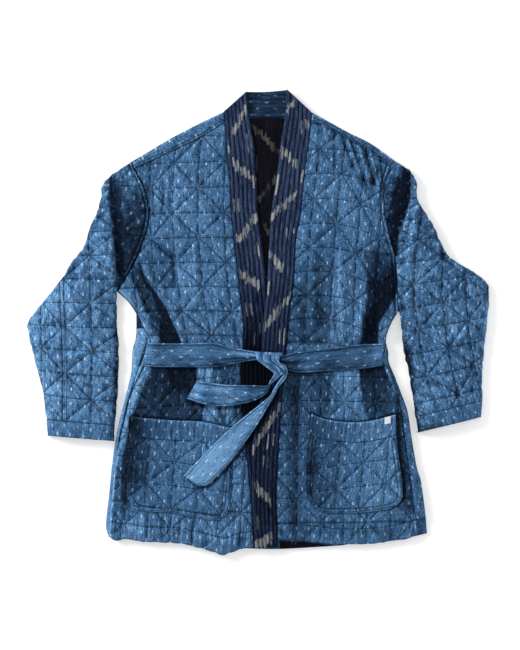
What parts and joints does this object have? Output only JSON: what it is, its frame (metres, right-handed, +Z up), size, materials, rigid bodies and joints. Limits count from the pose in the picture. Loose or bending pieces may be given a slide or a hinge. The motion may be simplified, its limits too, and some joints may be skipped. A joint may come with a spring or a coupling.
{
  "type": "quilted hanten jacket",
  "caption": "Quilted indigo cotton hanten jacket laid flat, with a channel-stitched kasuri collar band, patch pockets and a tied cloth belt",
  "frame": {"origin": "on the surface the jacket lies on, under the middle of its outline", "axes": "X to the wearer's left, Y from the hem to the neck, Z up off the surface"},
  "size_m": [0.7637, 0.7697, 0.0375],
  "materials": {
    "indigo_quilt": "matt woven cotton, quilted, with small pale woven dashes",
    "kasuri_band": "matt navy cotton with off-white kasuri marks, channel stitched",
    "kasuri_lining": "matt near-black cotton with brown-grey kasuri marks",
    "belt_cloth": "matt woven cotton with small pale woven dashes",
    "blank_label": "matt blank woven tape"
  },
  "bodies": {
    "root": {"back": "indigo_quilt", "front_right": "indigo_quilt", "front_left": "indigo_quilt", "sleeve_right": "indigo_quilt", "sleeve_left": "indigo_quilt", "collar_back": "kasuri_band", "collar_right": "kasuri_band", "collar_left": "kasuri_band", "lining_neck": "kasuri_lining", "lining_hem": "kasuri_lining", "pocket_right": "indigo_quilt", "pocket_left": "indigo_quilt", "pocket_label": "blank_label", "belt_right": "belt_cloth", "belt_left": "belt_cloth", "belt_knot": "belt_cloth", "belt_tail_upper": "belt_cloth", "belt_tail_lower": "belt_cloth", "belt_loop_right": "belt_cloth", "belt_loop_left": "belt_cloth"}
  },
  "joints": []
}
